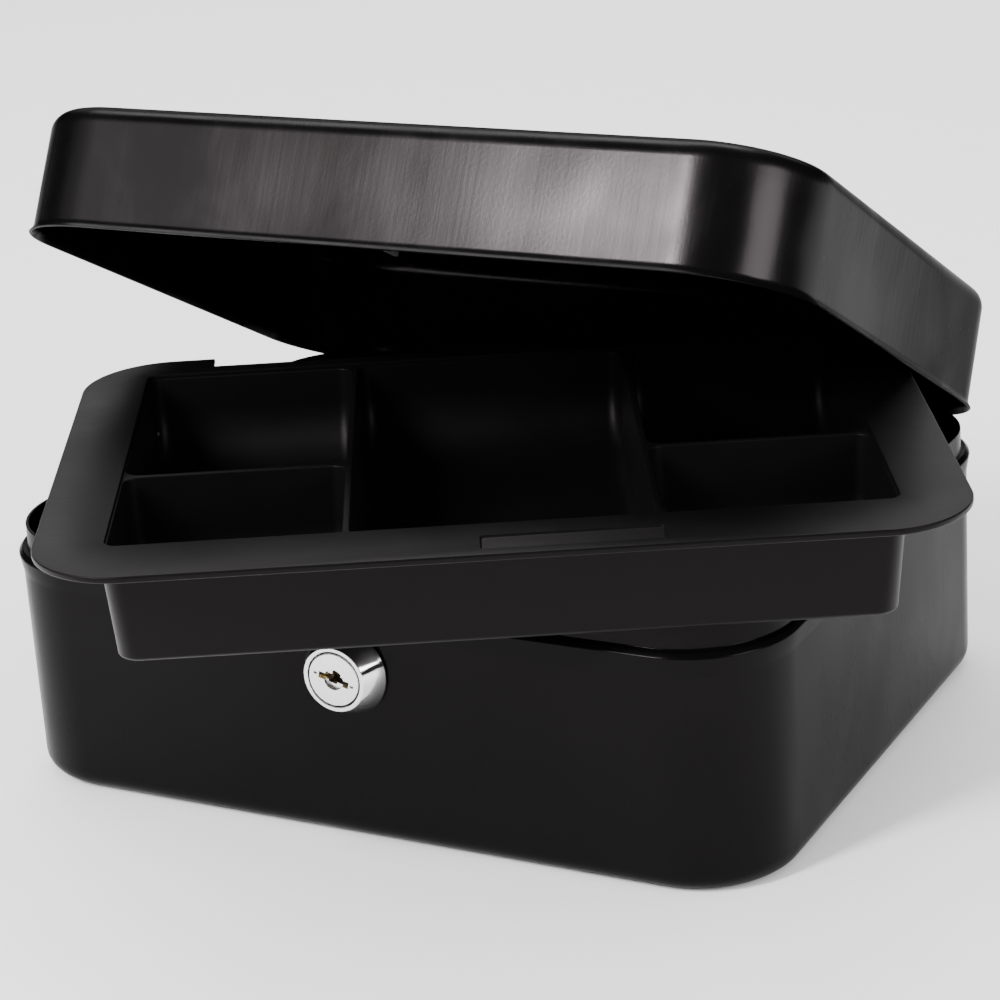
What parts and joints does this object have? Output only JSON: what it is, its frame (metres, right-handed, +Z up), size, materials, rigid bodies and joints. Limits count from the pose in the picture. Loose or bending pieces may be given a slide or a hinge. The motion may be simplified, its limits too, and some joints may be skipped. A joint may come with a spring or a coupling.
{
  "type": "cash box",
  "caption": "Black steel cash box with a hinged lid standing part open, a loose coin tray lying askew across it, a cam lock and a folding wire handle.",
  "frame": {"origin": "centre of the underside of the base, on the surface it stands on", "axes": "+X to the right and -Y towards the viewer seen from the lock side, +Z up, +Y towards the hinges"},
  "size_m": [0.2411, 0.2463, 0.1615],
  "materials": {
    "black_paint": "semi-gloss black baked enamel",
    "black_plastic": "satin black moulded styrene",
    "chrome": "bright plated",
    "zinc_steel": "zinc-plated steel",
    "brass": "bare brass"
  },
  "bodies": {
    "base": {"base_hinge_leaf_left": "black_paint", "base_hinge_leaf_right": "black_paint", "base_hinge_rivet_1": "black_paint", "base_hinge_rivet_2": "black_paint", "base_hinge_rivet_3": "black_paint", "base_hinge_rivet_4": "black_paint", "base_shell": "black_paint", "hinge_pin_left": "zinc_steel", "hinge_pin_right": "zinc_steel", "lock_housing": "chrome", "lock_nut": "zinc_steel", "lock_washer": "zinc_steel"},
    "lid": {"handle_bracket_left": "chrome", "handle_bracket_right": "chrome", "handle_rivet_1": "chrome", "handle_rivet_2": "chrome", "handle_rivet_3": "chrome", "handle_rivet_4": "chrome", "lid_catch": "zinc_steel", "lid_hinge_leaf_left": "black_paint", "lid_hinge_leaf_right": "black_paint", "lid_hinge_rivet_1": "black_paint", "lid_hinge_rivet_2": "black_paint", "lid_hinge_rivet_3": "black_paint", "lid_hinge_rivet_4": "black_paint", "lid_hinge_rivet_5": "black_paint", "lid_hinge_rivet_6": "black_paint", "lid_shell": "black_paint"},
    "tray": {"coin_tray": "black_plastic"},
    "plug": {"cam_screw": "zinc_steel", "lock_cam": "zinc_steel", "lock_plug": "chrome", "lock_wafer_1": "brass", "lock_wafer_2": "brass", "lock_wafer_3": "brass", "lock_wafer_4": "brass", "wafer_spring_1": "brass", "wafer_spring_2": "brass", "wafer_spring_3": "brass", "wafer_spring_4": "brass"},
    "handle": {"lid_handle": "chrome"}
  },
  "joints": [
    {"name": "lid_hinge", "type": "hinge", "parent": "base", "child": "lid", "pos_m": [0, 0.0826, 0.0596], "axis": [-1, 0, 0], "range_deg": [0, 71.2]},
    {"name": "tray_slide", "type": "slide", "parent": "base", "child": "tray", "axis": [0.4802, -0.8771, 0], "range_m": [0, 0.15]},
    {"name": "lock_turn", "type": "hinge", "parent": "base", "child": "plug", "pos_m": [0, 0, 0.043], "axis": [0, 1, 0], "range_deg": [-14.5, 75.5]},
    {"name": "handle_fold", "type": "hinge", "parent": "lid", "child": "handle", "pos_m": [0, 0.03116, 0.1188], "axis": [-1, 0, 0], "range_deg": [0, 165]}
  ]
}
